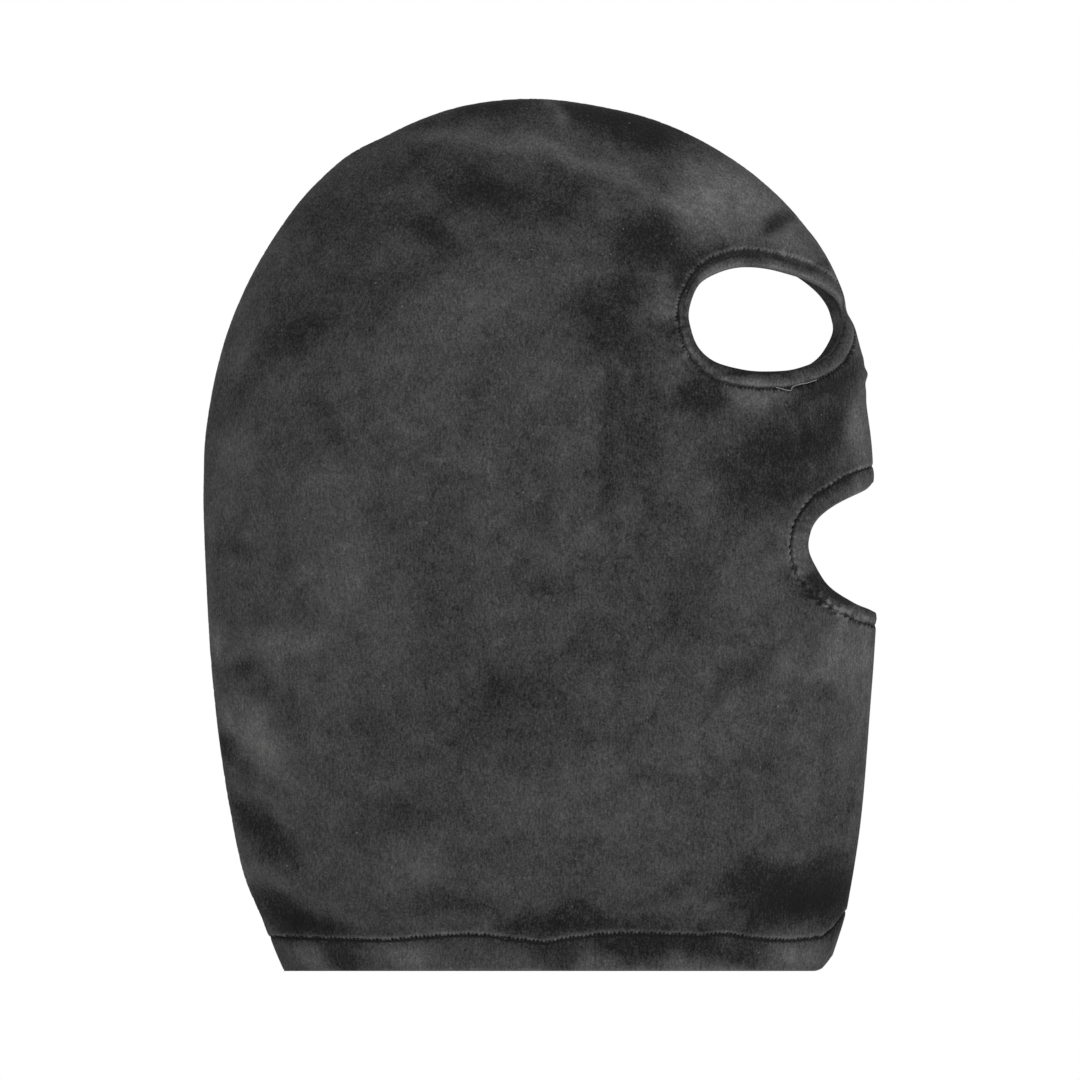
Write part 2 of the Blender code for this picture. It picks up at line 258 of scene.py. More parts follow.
def eyeLines(side):
    # the hole's edge, and the stitch row an even way out from it
    places = eyeHem["right" if side < 0 else "left"]
    edge = smoothLine([toPattern(x * mm, z * mm) for x, z in places], 12)
    edge = smoothRing(stepsAlong(edge + edge[:1], eyeHem["step"])[:-1], 12)
    middle = sum(edge, Vector((0, 0))) / len(edge)
    row = []
    for i, p in enumerate(edge):
        along = (edge[(i + 3) % len(edge)] - edge[i - 3]).normalized()
        out = Vector((along.y, -along.x))
        if out.dot(p - middle) < 0:
            out = -out
        behind = ease((-out.x - 0.2) / 0.7)
        width = eyeHem["width"] + (eyeHem["backWidth"] - eyeHem["width"]) * behind
        q = p + out * width
        room = toRim(q)
        if room < eyeHem["toFold"]:
            centre = Vector((0, headCentre))
            q = q - (q - centre).normalized() * (eyeHem["toFold"] - room)
        row.append(q)
    return edge, smoothRing(row, 10)


neckRowHeight = smoothCurve(neckHem["row"])


def neckLine(height, rise):
    # along the neck from the back rim to the front rim, rising at the front fold
    line, half, within = [], 150, 1 - 1e-9
    for k in range(-half, half + 1):
        share = math.sin(math.pi / 2 * k / half)
        reach = frontReach if share > 0 else backReach
        z = height(share * reach(neckHem["height"]))
        if share > 0:
            z += rise[0] * bell(toRim(toPattern(share * reach(z) * within, z)), rise[1])
        line.append(toPattern(share * reach(z) * within, z))
    return line


def stepsAlong(line, step, *partners):
    # the line again with even steps, and its partner lines at the same places
    lengths = [0]
    for a, b in zip(line, line[1:]):
        lengths.append(lengths[-1] + (b - a).length)
    count = max(2, round(lengths[-1] / step))
    lines = [line, *partners]
    made = [[] for _ in lines]
    for k in range(count + 1):
        t = lengths[-1] * k / count
        i = min(max(bisect.bisect_right(lengths, t), 1), len(lengths) - 1)
        part = (t - lengths[i - 1]) / (lengths[i] - lengths[i - 1])
        for steps, points in zip(made, lines):
            steps.append(points[i - 1].lerp(points[i], part))
    return made if partners else made[0]


def frontRim(low, high):
    return [Vector((frontReach(z) * spread, z)) for z in (low + (high - low) * k / 60 for k in range(61))]


def crownRim(footZ):
    rim = []
    for k in range(361):
        a = math.radians(k / 2)
        away = crownRadius(a) * spread
        rim.append(Vector((away * math.cos(a), headCentre + away * math.sin(a))))
    return rim + [Vector((-backReach(z) * spread, z)) for z in
                  (headCentre + (footZ - headCentre) * k / 90 for k in range(1, 91))]


neckRow = neckLine(neckRowHeight, neckHem["rowRise"])
neckEdge = neckLine(lambda x: 0, neckHem["edgeRise"])
mouthRow = mouthLine(mouthHem["rowEnds"], mouthHem["row"])
mouthEdge = mouthLine(mouthHem["edgeEnds"], mouthHem["edge"])
eyeEdges, eyeRows = {}, {}
for side in (-1, 1):
    eyeEdges[side], eyeRows[side] = eyeLines(side)
print("pattern lines drawn")


# how the pile lies, and painted shade and light

napAndShade = {
    # patches where the pile was brushed the dark way (-) or the light way (+), some of them painted shade
    # and highlight of folds, creases and hem rolls: x, z, half length, half height, tilt in degrees, how
    # much
    "patches": [
        (36, 333, 30, 10, -13, -2.4), (-22, 338, 20, 7, 0, -1.6), (-55, 313, 18, 7, 25, -0.7),
        (-24, 305, 15, 9, -20, -0.9), (6, 303, 15, 8, 0, -0.5), (-42, 289, 13, 7, -45, -0.8),
        (45, 285, 15, 10, 0, -1.4), (58, 271, 5, 9, 0, -1.0), (-74, 261, 28, 12, 18, -0.75),
        (-95, 246, 15, 9, 25, -0.8), (23, 254, 13, 15, 0, -1.0), (38, 242, 8, 14, 0, -0.6),
        (36, 267, 9, 9, 0, -0.6),
        (-82, 213, 5, 16, 30, -0.6), (-118, 165, 10, 5, 0, -0.6), (-103, 159, 9, 4, 0, -0.5),
        (64, 224, 9, 8, -30, -1.5), (97, 210, 22, 11, 0, -1.0), (112, 214, 10, 12, 0, -0.6),
        (116, 229, 12, 5, 55, -1.1), (90, 192, 21, 17, 0, -1.2), (108, 150, 12, 5, -25, -1.3),
        (-115, 117, 8, 4, -25, -1.4), (-125, 88, 7, 4, -30, -1.5), (-109, 59, 19, 5, -36, -1.3),
        (-101, 24, 20, 7, -22, -2.2), (-77, 5, 6, 10, 30, -1.4), (-38, 25, 24, 5, 0, -0.7),
        (8, 20, 22, 6, 0, -1.6), (8, 6, 8, 6, 0, -1.2), (38, 9, 13, 5, 15, -1.5), (68, 8, 18, 5, -12, -2.0),
        (98, 31, 28, 12, 0, -2.6), (120, 36, 10, 11, 0, -1.6), (60, 17, 22, 5, -10, -0.7),
        (-58, 60, 25, 8, 18, -0.6), (-14, 96, 28, 20, 0, -0.6), (-17, 109, 11, 9, 0, -0.4),
        (80, 118, 13, 5, 30, -0.9), (-34, 145, 12, 10, 0, -0.4), (-3, 150, 8, 5, 0, -0.5),
        (64, 158, 12, 26, 0, -0.35), (-65, 95, 9, 7, 0, -0.5), (26, 205, 3, 44, 2, -0.55),
        (42, 190, 3, 30, -3, -0.45), (34, 215, 12, 30, 0, -0.3), (0, 185, 15, 14, 0, -0.35),
        (-25, 225, 5, 5, 0, -0.6), (22, 130, 14, 12, 20, -0.35), (55, 135, 12, 8, 30, -0.4),
        (90, 291, 10, 4, 42, -2.2), (-60, 178, 6, 8, 0, -0.3), (-122, 222, 8, 10, 0, -0.35),
        (-92, 298, 12, 8, 50, -0.5), (52, 248, 3, 9, 10, -0.5),
        (84, 302, 30, 17, -35, 1.35), (62, 298, 12, 16, 0, 0.8), (-24, 324, 32, 3.4, -4, 0.6),
        (25, 311, 32, 3.6, -23, 1.1), (-28, 262, 22, 13, 0, 0.5), (-118, 203, 10, 9, 0, 0.6),
        (-97, 127, 17, 7, 0, 1.0), (-110, 94, 8, 21, 32, 1.3), (-129, 130, 5, 12, 0, 1.0),
        (-78, 152, 14, 16, 0, 0.4), (125, 215, 5, 24, 0, 1.5), (101, 164, 5, 11, 0, 0.7),
        (122, 124, 11, 17, 0, 1.0), (128, 80, 8, 36, 0, 0.6), (-45, 41, 14, 8, 0, 0.65),
        (99, 6, 12, 6, 0, 1.1), (-90, 8, 7, 8, 20, 0.9), (-52, 8, 13, 7, 0, 1.1), (22, 3, 8, 4, 0, 0.7),
        (64, 182, 6, 14, -15, 0.5), (-80, 190, 16, 12, 0, 0.3), (50, 262, 4, 6, 0, 0.7),
        (60, 75, 40, 40, 0, 0.15), (85, 221, 9, 5, 0, 0.9), (-118, 40, 8, 6, -35, 0.7),
        (42, 180, 25, 70, 0, -0.25), (105, 226, 9, 4, 35, -1.0), (114.6, 15, 9, 1, 76, -1.8),
        (64.5, 274, 8.5, 2.8, 38, -0.9), (84, 278.6, 14, 2.6, 0, -0.8), (103.5, 275, 11, 2.6, -14, -1.3),
        (84, 231.8, 18, 1.6, -2, -1.0), (114, 231, 12, 4.5, 31, -1.2), (-74, 290, 26, 13, 30, -0.45),
        (-18, 304, 34, 12, -10, -0.4), (6, 336, 2.2, 8, 12, 1.5), (-112, 232, 9, 5, 40, -0.5),
    ],
    "clouds": 0.36,  # soft clouds between the patches
    "leftClouds": 2.2,  # how much stronger they are on the left, which has no patches
    "strokes": 0.5,  # thin lines where the pile was brushed one way and then the other
    "slopeShade": 1.9,  # painted shade and light: how much cloth that turns up is painted darker, and cloth that turns down lighter
    "darkest": 0.6,  # how much of what is darker than -1 stays, so that the pile shows
    "middle": (15 * mm, 150 * mm), "round": 75 * mm,  # the clouds run round this place
}


def clouds(place):
    # clouds and strokes that run round the head, as the cloth was smoothed by hand
    away = Vector((place.x - napAndShade["middle"][0], place.z - napAndShade["middle"][1]))
    far = max(away.length, 1 * mm)
    turnX, turnZ = away.x / far * napAndShade["round"], away.y / far * napAndShade["round"]
    bent = Vector((turnX + place.y, turnZ - place.y / 2, far * 1.5 + place.y))
    p = bent + noise.noise_vector(place * 21 + Vector((5, 1, 3))) * 0.012
    soft = (noise.noise(p * 30) * 0.7 + noise.noise(p * 66 + Vector((9, 4, 2))) * 0.7
            + noise.noise(p * 150) * 0.5 + noise.noise(p * 330) * 0.3)
    ridge = 1 - abs(noise.noise(p * 24 + Vector((2, 6, 6)))) * 9
    fade = ease(noise.noise(place * 18 + Vector((4, 4, 9))) * 3)
    return soft, max(ridge, 0) * fade * (1 if noise.noise(place * 9) > 0 else -1)


def markNapAndShade(piece):
    # stores how the pile lies for the velour, with painted shade and light: patches on the right side,
    # some of them painted fold shade, clouds of the same strength on the left, the rows' painted shade
    # and highlight, and painted shade where the cloth turns up and painted light where it turns down
    mesh = piece.data
    places = np.zeros(len(mesh.vertices) * 3)
    mesh.vertices.foreach_get("co", places)
    places = places.reshape(-1, 3)
    soft, strokes = np.array([clouds(v.co) for v in mesh.vertices]).T
    wander = np.array([noise.noise_vector(v.co * 55 + Vector((3, 2, 1))) * 0.0045
                       + noise.noise_vector(v.co * 130) * 0.0022 for v in mesh.vertices])
    own = np.zeros(len(places))
    x, z = places[:, 0] + wander[:, 0], places[:, 2] + wander[:, 2]
    # patches: pile tone, and painted shade and highlight of folds, creases and hem rolls
    for px, pz, long, high, tilt, how in napAndShade["patches"]:
        c, d = math.cos(math.radians(tilt)), math.sin(math.radians(tilt))
        dx, dz = x - px * mm, z - pz * mm
        t = ((dx * c + dz * d) / (long * mm)) ** 2 + ((dz * c - dx * d) / (high * mm)) ** 2
        own += how * np.exp(-t ** 1.4)
    left = np.clip(places[:, 1] / (24 * mm) + 0.5, 0, 1)
    value = (own * (1 - left) + soft * napAndShade["clouds"] * (1 + napAndShade["leftClouds"] * left)
             + strokes * napAndShade["strokes"])
    baseUp, shade, up = np.zeros(len(places)), np.zeros(len(places)), np.zeros(len(places) * 3)
    mesh.attributes["baseUp"].data.foreach_get("value", baseUp)
    mesh.attributes["rowShade"].data.foreach_get("value", shade)
    mesh.vertices.foreach_get("normal", up)
    # painted shade and light: the rows' painted shade and highlight, and cloth that turns up from its base
    # shape painted darker and cloth that turns down painted lighter
    value += shade - napAndShade["slopeShade"] * np.clip(up.reshape(-1, 3)[:, 2] - baseUp, -0.7, 0.7)
    value = np.where(value < -1, -1 + (value + 1) * napAndShade["darkest"], value)
    mesh.attributes.new("napAndShade", "FLOAT", "POINT").data.foreach_set("value", value)


# the hood's cloth: one piece, folded down the front and seamed over the crown and down the back

def treeOf(places):
    tree = kdtree.KDTree(len(places))
    for i, p in enumerate(places):
        tree.insert(p.to_3d(), i)
    tree.balance()
    return tree


creases = [  # from (x, z) to (x, z), half width, depth
    ((-128, 122), (-98, 108), 6, -1.6), ((-126, 92), (-108, 78), 5, -1.5), ((-124, 70), (-86, 40), 7, -2.2),
    ((-114, 34), (-72, 12), 7, -2.0), ((-121, 104), (-100, 92), 7, 1.2), ((-118, 52), (-92, 30), 6, 1.0),
    ((121, 34), (84, 24), 8, -1.6), ((126, 228), (98, 206), 6, -1.0), ((60, 226), (82, 200), 8, -1.0),
    ((30, 290), (58, 276), 8, -1.0), ((36, 12), (84, 4), 5, -0.8), ((-28, 18), (34, 20), 5, -0.9),
    ((10, 322), (62, 312), 8, -1.0), ((58, 300), (100, 286), 9, 1.0), ((-60, 300), (-30, 284), 8, -0.8),
]
creaseList = [(Vector(a) * mm, Vector(b) * mm, w * mm, d * mm) for a, b, w, d in creases]


def creaseAt(place, side):
    x, z = place.x, place.z
    total = 0
    if side > 0:
        x, z = x * 0.96 + 2 * mm, z + 6 * mm  # the left side creases a little lower
    for a, b, width, depth in creaseList:
        line = b - a
        part = min(max(((x - a.x) * line.x + (z - a.y) * line.y) / line.length_squared, 0), 1)
        away = math.hypot(x - a.x - line.x * part, z - a.y - line.y * part)
        if away < width * 2.5:
            fade = 1 - 0.55 * abs(part - 0.4) - 0.3 * noise.noise(Vector((part * 3, depth * 900, side)))
            total += depth * bell(away, width) * fade
    return total


def wave(place):
    # the soft unevenness of cloth that holds its own shape
    return (noise.noise(place * 15 + Vector((1, 7, 3))) * 2.0 + noise.noise(place * 34) * 0.8
            + noise.noise(place * 80 + Vector((3, 3, 8))) * 0.22) * mm


def drawSide(side):
    # fills the pattern between its rim and stitch rows with even triangles
    rows = [neckRow, mouthRow, eyeRows[side] + eyeRows[side][:1]]
    hemTree = treeOf([p for row in rows for p in stepsAlong(row, 0.8 * mm)])
    bm = bmesh.new()
    outline = []
    mouthTop, mouthFoot = mouthRow[0], mouthRow[-1]
    parts = [stepsAlong(neckRow, hood["hemMesh"]),
             stepsAlong(frontRim(neckRow[-1].y, mouthFoot.y), hood["foldStep"]),
             stepsAlong(mouthRow[::-1], hood["hemMesh"]),
             stepsAlong(frontRim(mouthTop.y, headCentre), hood["foldStep"]),
             stepsAlong(crownRim(neckRow[0].y), hood["seamStep"])]
    for part in parts:
        outline += part[:-1]
    for loop in (outline, stepsAlong(rows[2], hood["hemMesh"])[:-1]):
        verts = [bm.verts.new((p.x, 0, p.y)) for p in loop]
        for a, b in zip(verts, verts[1:] + verts[:1]):
            bm.edges.new((a, b))
    bmesh.ops.triangle_fill(bm, use_beauty=True, edges=bm.edges[:], normal=(0, 1, 0))

    def sizeAt(v):
        toHem = hemTree.find((v.co.x, v.co.z, 0))[2]
        rim = max(toRim((v.co.x, v.co.z)), 0)
        return min(hood["hemMesh"] + 0.28 * toHem, hood["rimMesh"] + 0.15 * rim, hood["openMesh"])

    for _ in range(12):
        wanted = {v: sizeAt(v) for v in bm.verts}
        long = [e for e in bm.edges if not e.is_boundary
                and e.calc_length() > 1.45 * max(min(wanted[v] for v in e.verts), 0.4 * mm)]
        if len(long) < 30:
            break
        bmesh.ops.subdivide_edges(bm, edges=long, cuts=1)
        bmesh.ops.triangulate(bm, faces=[f for f in bm.faces if len(f.verts) > 3])
        bmesh.ops.beautify_fill(bm, faces=bm.faces[:], edges=[e for e in bm.edges if not e.is_boundary])
        inner = [v for v in bm.verts if not v.is_boundary]
        for _ in range(2):
            bmesh.ops.smooth_vert(bm, verts=inner, factor=0.5, use_axis_x=True, use_axis_z=True)
    for _ in range(8):  # a triangle that turned over goes, and its place is filled again
        bm.normal_update()
        over = {v for f in bm.faces if f.normal.y < 0.5 for v in f.verts if not v.is_boundary}
        if not over:
            break
        bmesh.ops.dissolve_verts(bm, verts=list(over))
        bmesh.ops.triangulate(bm, faces=[f for f in bm.faces if len(f.verts) > 3])
    return bm


stitchRow = {
    "shallow": [(101, 154, 7, 0.7), (110, 144, 8, 0.75), (121, 137.5, 8, 0.6), (54, 251, 8, 0.35),
                (62, 240, 7, 0.3)],  # where it sinks into the pile: x, z, reach and share, in mm
    "dip": 1.6 * mm, "dipWidth": 0.6 * mm,  # how the cloth dives into it
    "swell": 0.42 * mm, "swellAt": 1.8 * mm,  # and swells beside it
    "pucker": 0.6 * mm,
    "tuft": 0.22 * mm,  # how high the pile's tufts stand beside it
    "overhang": 0.5 * mm, "tuftReach": 3 * mm,
}


def rowDepth(q):
    lost = 0
    for x, z, reach, share in stitchRow["shallow"]:
        lost += share * bell(math.hypot(q.x - x * mm, q.z - z * mm), reach * mm)
    return 1 - lost


def rowRough(q, at):
    # how far the stitches and the pile's tufts push a row to one side, from -1 to 1 or so
    even = 0.6 * math.cos(math.tau * at)
    return even + 1.1 * noise.noise(q / (1.1 * mm)) + 0.6 * noise.noise(q / (2.6 * mm))


def rowShade(t, q, at):
    # painted shade in a row's groove where the pile parts and a painted highlight on the tuft tips beside
    # it, with pile blots where the row lies shallow; t is how far off the row is
    rough = rowRough(q, at)
    deep = rowDepth(q)
    gapShade = bell(t, 0.7 * mm) * (1.0 + 1.6 * max(-rough, 0)) * (0.35 + 0.65 * deep)
    tipHighlight = bell(t - 1.0 * mm, 0.6 * mm) * (0.2 + 1.3 * max(rough, 0))
    spot = noise.noise(q / (2.2 * mm) + Vector((t / (1.5 * mm), 4, 4)))
    return tipHighlight - gapShade + (1 - deep) * bell(t, 2.4 * mm) * 6 * spot


def rowPlaces(row, edge, side, stitch, turns):
    # samples of a stitch row on the cloth: place, way to the hem's edge, stitches along; the hem goes
    # this often over the row
    points, mates = stepsAlong(row, 0.4 * mm, edge)
    samples, at = [], 0
    for i, (p, mate) in enumerate(zip(points, mates)):
        q = clothPoint(p, side)
        at += (q - samples[-1][0]).length if i else 0
        samples.append((q, (clothPoint(mate, side) - q).normalized(), at))
    cycle = round(at * turns / stitch) / (at * turns)
    return [(q, way, at * cycle) for q, way, at in samples]


def swelling(t, width):
    # nothing at 0, the most at width, then less and less
    return t / width * math.exp(1 - t / width)


def foldSqueeze(flat, reach=5 * mm):
    # what stands out from the cloth flattens where it goes round a fold
    return 1 - 0.7 * bell(toRim(flat), reach)


def seamLift(place, rim):
    # the groove of the crown and back seam
    angle = math.degrees(math.atan2(place.z - headCentre, place.x))
    if place.x >= 0 and angle <= seam["start"]:
        return 0
    start = ease((angle - seam["start"]) / seam["runOut"]) if place.x > 0 else 1
    swell = seam["swell"] * swelling(rim, seam["swellAt"])
    return start * (swell - seam["depth"] * bell(rim, seam["width"]))


def liftSide(bm, side):
    near = (rowPlaces(neckRow, neckEdge, side, neckHem["stitch"], 2)
            + rowPlaces(mouthRow, mouthEdge, side, mouthHem["stitch"], 2)
            + rowPlaces(eyeRows[side] + eyeRows[side][:1], eyeEdges[side] + eyeEdges[side][:1], side,
                        eyeHem["stitch"], 1))
    rowTree = treeOf([q for q, way, at in near])
    baseUp = bm.verts.layers.float.new("baseUp")
    shade = bm.verts.layers.float.new("rowShade")
    for v in bm.verts:
        flat = (v.co.x, v.co.z)
        place, out = clothPoint(flat, side), clothNormal(flat, side)
        rim = max(toRim(flat), 0)
        squeeze = foldSqueeze(flat)
        q, i, toRow = rowTree.find(place)
        way, at = near[i][1:]
        inside = ease(rim / (26 * mm)) * ease(toRow / (20 * mm))
        lift = wave(place) * (0.12 + 0.88 * inside)
        lift += creaseAt(place, side) * ease(rim / (16 * mm)) * ease(toRow / (9 * mm))
        tug = noise.noise(Vector((at * 0.45, side * 3, 1))) * bell(toRow - 3 * mm, 5 * mm)
        dip = stitchRow["dip"] * bell(toRow, stitchRow["dipWidth"])
        swell = stitchRow["swell"] * swelling(toRow, stitchRow["swellAt"])
        lift += (swell - dip) * squeeze * rowDepth(q)
        lift += stitchRow["pucker"] * tug * ease(rim / (5 * mm))
        if toRow < stitchRow["tuftReach"]:  # tufts overhang the row between the stitches
            rough = rowRough(q, at) * bell(toRow - 0.4 * mm, 0.9 * mm)
            place += way * rough * stitchRow["overhang"] * ease((rim + 1 * mm) / (3 * mm))
            lift += stitchRow["tuft"] * rough * squeeze
            # painted shade in the row's groove and painted highlight on the tufts beside it
            v[shade] = rowShade(toRow, q, at)
        v.co = place + out * (lift + seamLift(place, rim))
        v[baseUp] = out.z
        if v.is_boundary and rim < 0.01 * mm:
            v.co.y = 0


def finishMesh(bm, name, materials):
    mesh = bpy.data.meshes.new(name)
    bm.to_mesh(mesh)
    bm.free()
    piece = bpy.data.objects.new(name, mesh)
    bpy.context.scene.collection.objects.link(piece)
    for m in materials:
        mesh.materials.append(m)
    mesh.shade_smooth()
    return piece


# the materials

def toLinear(hexColour):
    # sRGB hex to the linear colour that a socket takes
    parts = [int(hexColour[i:i + 2], 16) / 255 for i in (1, 3, 5)]
    return (*[c / 12.92 if c <= 0.04045 else ((c + 0.055) / 1.055) ** 2.4 for c in parts], 1)


def addNode(tree, kind, inputs=None, **settings):
    node = tree.nodes.new(kind)
    for key, value in settings.items():
        setattr(node, key, value)
    for key, value in (inputs or {}).items():
        if isinstance(value, bpy.types.NodeSocket):
            tree.links.new(value, node.inputs[key])
        else:
            node.inputs[key].default_value = value
    return node


def newMaterial(name):
    material = bpy.data.materials.new(name)
    material.use_nodes = True
    tree = material.node_tree
    tree.nodes.clear()
    return material, tree, addNode(tree, "ShaderNodeTexCoord").outputs["Object"]


def setRamp(node, stops):
    ramp = node.color_ramp
    while len(ramp.elements) < len(stops):
        ramp.elements.new(0.5)
    for element, (at, colour) in zip(ramp.elements, stops):
        element.position = at
        element.color = toLinear(colour) if isinstance(colour, str) else (colour, colour, colour, 1)


velour = {
    "tones": [(0.0, "#0c0c0c"), (0.2, "#1b1b1b"), (0.5, "#3a3a3a"), (0.75, "#4e4e4e"), (1.0, "#666666")],
    "pile": 0.75 * mm,  # tufts of the pile, drawn a little coarse so that they show
    "streak": 2.2 * mm,
    "mottle": 7 * mm,
    "lint": 0.3 * mm,
    "lintEvery": 8 * mm,
    "slopeShade": 0.12,  # painted shade: how much darker it is painted where it faces up
}


def makeVelour():
    # Knitted polyester velour with a cropped pile: it has almost no gloss, it is dark or light in soft
    # patches, partly pile and partly painted shade and highlight, with a fine mottle, and it has painted
    # shade where it faces up.
    material, tree, place = newMaterial("velour_polyester_charcoal")
    # the nap attribute: pile tone with painted shade and light in it
    lieAndShade = addNode(tree, "ShaderNodeAttribute", attribute_name="napAndShade").outputs["Fac"]
    tufts = addNode(tree, "ShaderNodeTexNoise", {
        "Vector": place, "Scale": 1 / velour["pile"], "Detail": 3.0, "Roughness": 0.65}).outputs["Fac"]
    mottle = addNode(tree, "ShaderNodeTexNoise", {
        "Vector": place, "Scale": 1 / velour["mottle"], "Detail": 5.0, "Roughness": 0.62}).outputs["Fac"]
    longWay = addNode(tree, "ShaderNodeMapping", {
        "Vector": place, "Scale": (1 / velour["pile"], 1 / velour["pile"], 1 / velour["streak"])})
    streaks = addNode(tree, "ShaderNodeTexNoise", {
        "Vector": longWay.outputs["Vector"], "Scale": 1.0}).outputs["Fac"]
    # painted shade: the colour is darker where the surface faces up
    facing = addNode(tree, "ShaderNodeSeparateXYZ", {
        "Vector": addNode(tree, "ShaderNodeNewGeometry").outputs["Normal"]}).outputs["Z"]
    terms = [(lieAndShade, 0.25, 0.0), (tufts, 1.02, 0.5), (mottle, 0.42, 0.5), (streaks, 0.58, 0.5),
             (facing, -velour["slopeShade"], 0.0)]
    total = None
    for socket, much, middle in terms:
        part = addNode(tree, "ShaderNodeMath", {0: socket, 1: middle}, operation="SUBTRACT").outputs[0]
        total = addNode(tree, "ShaderNodeMath", {0: part, 1: much, 2: total if total else 0.5},
                        operation="MULTIPLY_ADD").outputs[0]
    tone = addNode(tree, "ShaderNodeValToRGB", {"Fac": total})
    setRamp(tone, velour["tones"])
    dots = addNode(tree, "ShaderNodeTexVoronoi", {"Vector": place, "Scale": 1 / velour["lintEvery"]})
    speck = velour["lint"] / velour["lintEvery"]
    isLint = addNode(tree, "ShaderNodeMapRange", {
        "Value": dots.outputs["Distance"], "From Min": speck * 1.3, "From Max": speck * 0.6,
        "To Max": 0.35}).outputs["Result"]
    colour = addNode(tree, "ShaderNodeMix", {
        "Factor": isLint, 6: tone.outputs["Color"], 7: toLinear("#9a9a9a")}, data_type="RGBA")
    height = addNode(tree, "ShaderNodeMath", {0: tufts, 1: streaks}, operation="ADD").outputs[0]
    bump = addNode(tree, "ShaderNodeBump", {"Strength": 0.55, "Distance": 0.35 * mm, "Height": height})
    shader = addNode(tree, "ShaderNodeBsdfPrincipled", {
        "Base Color": colour.outputs[2], "Roughness": 0.95, "Specular IOR Level": 0.15,
        "Sheen Weight": 0.06, "Sheen Roughness": 0.6, "Normal": bump.outputs["Normal"]})
    addNode(tree, "ShaderNodeOutputMaterial", {"Surface": shader.outputs["BSDF"]})
    return material


knit = {"rib": 1.0 * mm, "cloud": 11 * mm, "tones": [(0.3, "#2c2c2d"), (0.6, "#3f3f40"), (0.85, "#4c4c4d")]}


def makeKnitBack():
    # The velour's inner face is its plain knitted ground: flat, finer, with narrow ribs that run up.
    material, tree, place = newMaterial("knit_ground_charcoal")
    ribs = addNode(tree, "ShaderNodeTexWave", {
        "Vector": place, "Scale": math.tau / (20 * knit["rib"]), "Distortion": 1.2, "Detail": 2.0,
        "Detail Scale": 3.0}, wave_type="BANDS", bands_direction="X").outputs["Fac"]
    cloud = addNode(tree, "ShaderNodeTexNoise", {
        "Vector": place, "Scale": 1 / knit["cloud"], "Detail": 5.0, "Roughness": 0.6}).outputs["Fac"]
    mixed = addNode(tree, "ShaderNodeMath", {0: ribs, 1: 0.18, 2: cloud}, operation="MULTIPLY_ADD")
    tone = addNode(tree, "ShaderNodeValToRGB", {"Fac": mixed.outputs[0]})
    setRamp(tone, knit["tones"])
    bump = addNode(tree, "ShaderNodeBump", {"Strength": 0.5, "Distance": 0.3 * mm, "Height": ribs})
    shader = addNode(tree, "ShaderNodeBsdfPrincipled", {
        "Base Color": tone.outputs["Color"], "Roughness": 0.9, "Specular IOR Level": 0.2,
        "Normal": bump.outputs["Normal"]})
    addNode(tree, "ShaderNodeOutputMaterial", {"Surface": shader.outputs["BSDF"]})
    return material


def makeThread(name, dark, light):
    # Spun polyester sewing thread: a soft low gloss, with the light and dark of its twist.
    material, tree, place = newMaterial(name)
    twist = addNode(tree, "ShaderNodeTexNoise", {"Vector": place, "Scale": 1 / (0.4 * mm)}).outputs["Fac"]
    tone = addNode(tree, "ShaderNodeValToRGB", {"Fac": twist})
    setRamp(tone, [(0.3, dark), (0.7, light)])
    bump = addNode(tree, "ShaderNodeBump", {"Strength": 0.4, "Distance": 0.1 * mm, "Height": twist})
    shader = addNode(tree, "ShaderNodeBsdfPrincipled", {
        "Base Color": tone.outputs["Color"], "Roughness": 0.7, "Normal": bump.outputs["Normal"]})
    addNode(tree, "ShaderNodeOutputMaterial", {"Surface": shader.outputs["BSDF"]})
    return material


velourCloth, knitBack = makeVelour(), makeKnitBack()
sewingThread = makeThread("thread_spun_polyester_charcoal", "#262627", "#454546")
looseThread = makeThread("thread_spun_polyester_loose", "#5c5c5c", "#868686")
print("materials made")


# the pieces

def makeHood():
    bm = bmesh.new()
    for side in (-1, 1):
        half = drawSide(side)
        liftSide(half, side)
        mesh = bpy.data.meshes.new("half")
        half.to_mesh(mesh)
        half.free()
        bm.from_mesh(mesh)
        bpy.data.meshes.remove(mesh)
    onFold = [v for v in bm.verts if v.is_boundary and abs(v.co.y) < 0.001 * mm]
    bmesh.ops.remove_doubles(bm, verts=onFold, dist=0.05 * mm)
    bmesh.ops.recalc_face_normals(bm, faces=bm.faces)
    widest = max(bm.faces, key=lambda f: f.calc_center_median().y)
    if widest.normal.y < 0:
        bmesh.ops.reverse_faces(bm, faces=bm.faces)
    piece = finishMesh(bm, "hood_cloth", [velourCloth, knitBack])
    markNapAndShade(piece)
    wall = piece.modifiers.new("ply", "SOLIDIFY")
    wall.thickness = hood["ply"]
    wall.offset = -1
    wall.material_offset = 1
    return piece


def wrapGrid(name, around, across, place, materials, marks=None, closed=True):
    # a grid of around by across steps, put in place step by step and joined up where its ends meet;
    # marks are values that its points keep for the material
    bm = bmesh.new()
    bmesh.ops.create_grid(bm, x_segments=around, y_segments=across, size=1)
    layers = [(bm.verts.layers.float.new(key), mark) for key, mark in (marks or {}).items()]
    for v in bm.verts:
        i, j = round((v.co.x + 1) / 2 * around), round((v.co.y + 1) / 2 * across)
        v.co = place(i, j)
        for layer, mark in layers:
            v[layer] = mark(i, j)
    bmesh.ops.remove_doubles(bm, verts=bm.verts, dist=0.002 * mm)
    if not closed:
        bmesh.ops.holes_fill(bm, edges=[e for e in bm.edges if e.is_boundary], sides=0)
    bmesh.ops.recalc_face_normals(bm, faces=bm.faces)
    if bm.calc_volume(signed=True) < 0:
        bmesh.ops.reverse_faces(bm, faces=bm.faces)
    return finishMesh(bm, name, materials)


